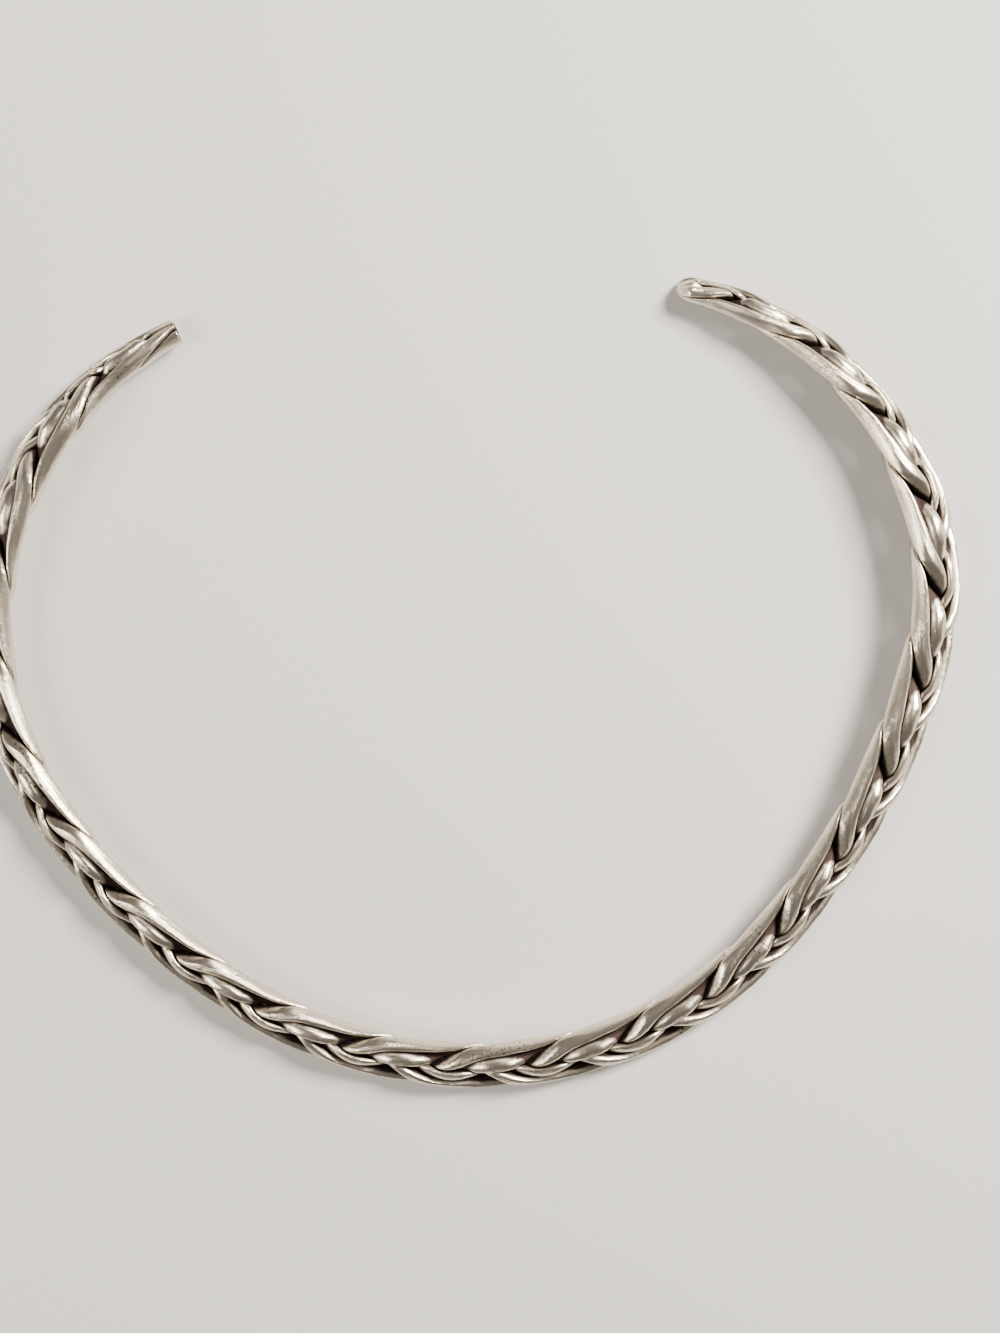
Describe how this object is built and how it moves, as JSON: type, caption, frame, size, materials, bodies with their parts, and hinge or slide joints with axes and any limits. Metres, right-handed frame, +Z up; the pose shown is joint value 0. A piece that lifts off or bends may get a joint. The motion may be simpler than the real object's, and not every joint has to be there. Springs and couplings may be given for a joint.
{
  "type": "plaited silver torc",
  "caption": "Open neck ring of flat silver wires in a hammered flat plait, narrowing to plain cut ends.",
  "frame": {"origin": "middle of the underside, where the torc lies flat", "axes": "+X across the ring to the end that laps over, +Y towards the open side, +Z up out of the face that is worn outwards"},
  "size_m": [0.1432, 0.1168, 0.0074],
  "materials": {
    "silver": "hammered silver, bright on the high faces and edges, darkened between the wires"
  },
  "bodies": {
    "root": {"first_strand_inner_wire": "silver", "first_strand_outer_wire": "silver", "second_strand_inner_wire": "silver", "second_strand_outer_wire": "silver", "third_strand_inner_wire": "silver", "third_strand_outer_wire": "silver"}
  },
  "joints": []
}
